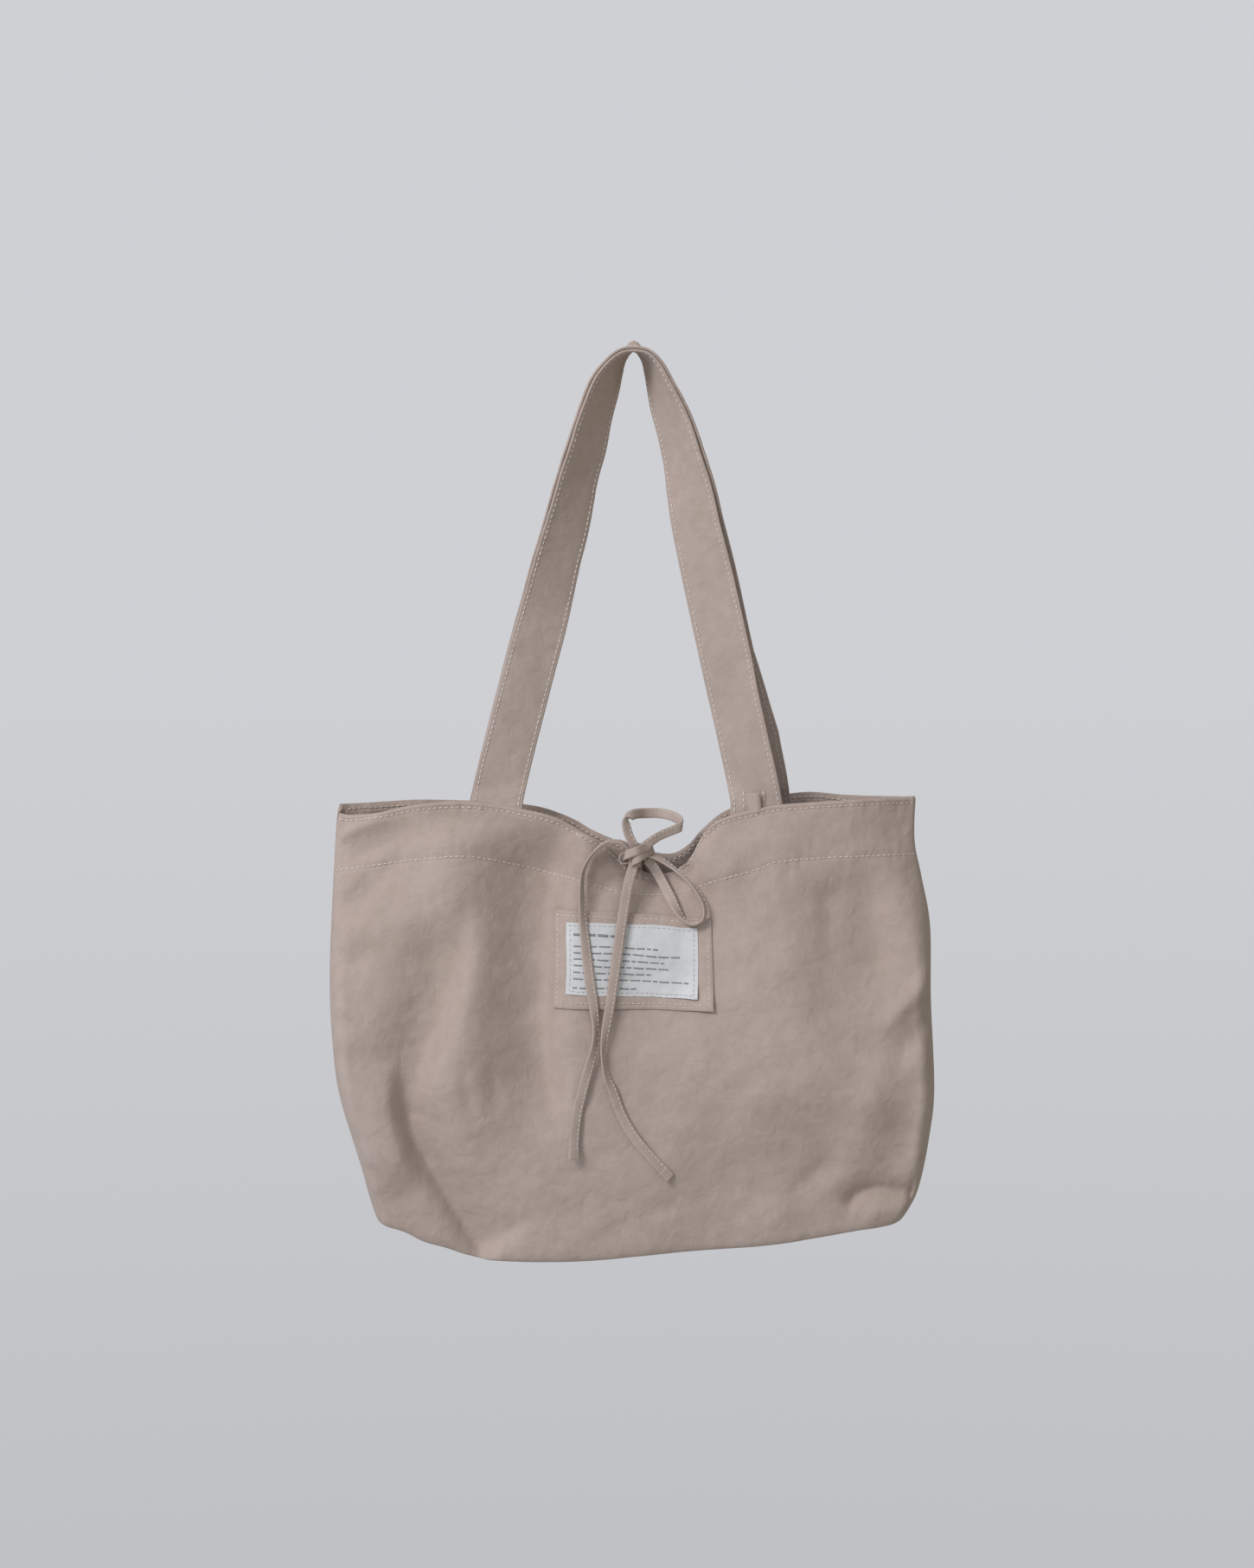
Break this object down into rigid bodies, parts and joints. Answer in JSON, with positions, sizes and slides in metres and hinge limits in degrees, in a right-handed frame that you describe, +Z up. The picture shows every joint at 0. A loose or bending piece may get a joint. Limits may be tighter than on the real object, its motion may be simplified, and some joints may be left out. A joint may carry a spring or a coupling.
{
  "type": "canvas tote bag",
  "caption": "Soft canvas tote bag with two shoulder straps, a boxed base, a deep stitched hem, a tied mouth and a sewn front patch, hanging from the crown of its straps",
  "frame": {"origin": "Underside of the front strap's crown, at the middle of its width: the point that rests on a hook", "axes": "+Z up along the hanging bag, +X to the right of someone facing the front, -Y out of the front"},
  "size_m": [0.39, 0.0869, 0.5902],
  "materials": {
    "canvas": "plain-weave cotton canvas, washed, dusty beige-pink",
    "strap_webbing": "folded and edge-stitched canvas strap",
    "tie_tape": "narrow folded canvas tape with one row of stitches",
    "label": "fine woven damask label, pale grey",
    "seam_binding": "overlocked seam allowance"
  },
  "bodies": {
    "bag": {"front_panel": "canvas", "back_panel": "canvas", "front_hem": "canvas", "back_hem": "canvas", "left_side_seam": "seam_binding", "right_side_seam": "seam_binding", "bottom_seam": "seam_binding", "left_corner_seam": "seam_binding", "right_corner_seam": "seam_binding", "front_strap_left_end": "strap_webbing", "front_strap_right_end": "strap_webbing", "back_strap_left_end": "strap_webbing", "back_strap_right_end": "strap_webbing", "front_patch": "canvas", "woven_label": "label", "front_tie": "tie_tape", "back_tie": "tie_tape", "bow_knot": "tie_tape", "upper_bow_loop": "tie_tape", "lower_bow_loop": "tie_tape", "left_tail": "tie_tape", "right_tail": "tie_tape", "left_tail_end": "tie_tape", "right_tail_end": "tie_tape"},
    "front_loop": {"front_strap": "strap_webbing", "keeper_loop": "tie_tape"},
    "back_loop": {"back_strap": "strap_webbing"}
  },
  "joints": [
    {"name": "front_strap_fold", "type": "hinge", "parent": "bag", "child": "front_loop", "pos_m": [0, -0.0186, -0.289], "axis": [1, 0, 0], "range_deg": [0, 150]},
    {"name": "back_strap_fold", "type": "hinge", "parent": "bag", "child": "back_loop", "pos_m": [0, 0.0186, -0.289], "axis": [1, 0, 0], "range_deg": [-150, 0]}
  ]
}
